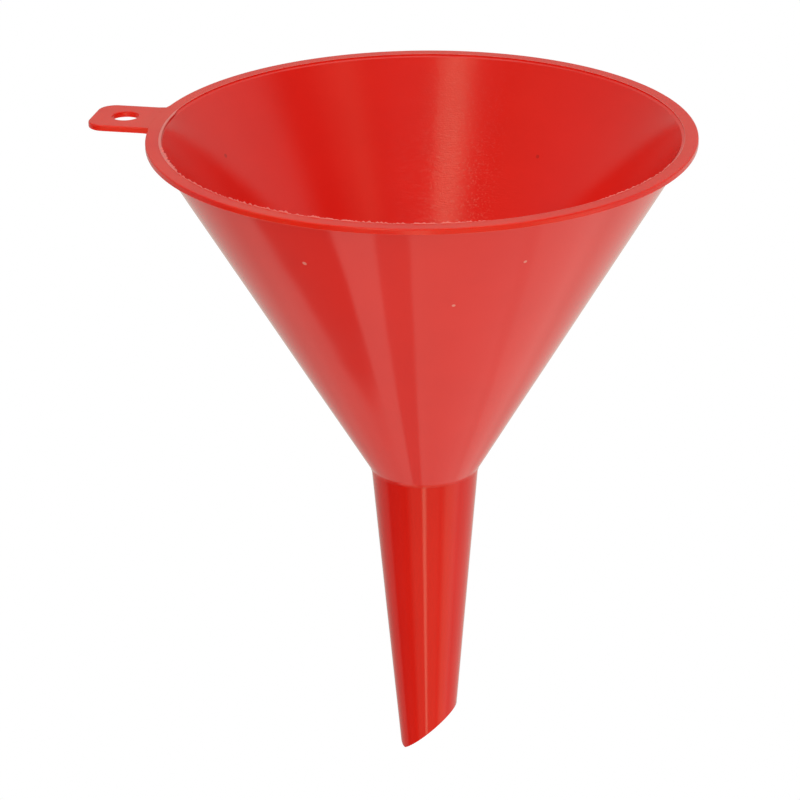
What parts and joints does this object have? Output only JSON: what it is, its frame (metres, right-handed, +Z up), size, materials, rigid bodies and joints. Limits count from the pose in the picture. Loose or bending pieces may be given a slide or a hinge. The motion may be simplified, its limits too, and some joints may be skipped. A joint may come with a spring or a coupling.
{
  "type": "funnel",
  "caption": "One-piece moulded pouring funnel: wide flanged conical bowl, slender tapered spout cut off on a slant, and a flat hanging tab with a hole.",
  "frame": {"origin": "on the funnel's axis at the shoulder, where the bowl's cone meets the spout and where the bowl rests on a neck", "axes": "+Z up the axis, out of the mouth; -X towards the hanging tab, which is also the low side of the spout's slanted end"},
  "size_m": [0.179, 0.16, 0.2018],
  "materials": {
    "moulded_plastic": "gloss"
  },
  "bodies": {
    "root": {"bowl": "moulded_plastic", "rim_flange": "moulded_plastic", "hanging_tab": "moulded_plastic", "spout": "moulded_plastic"}
  },
  "joints": []
}
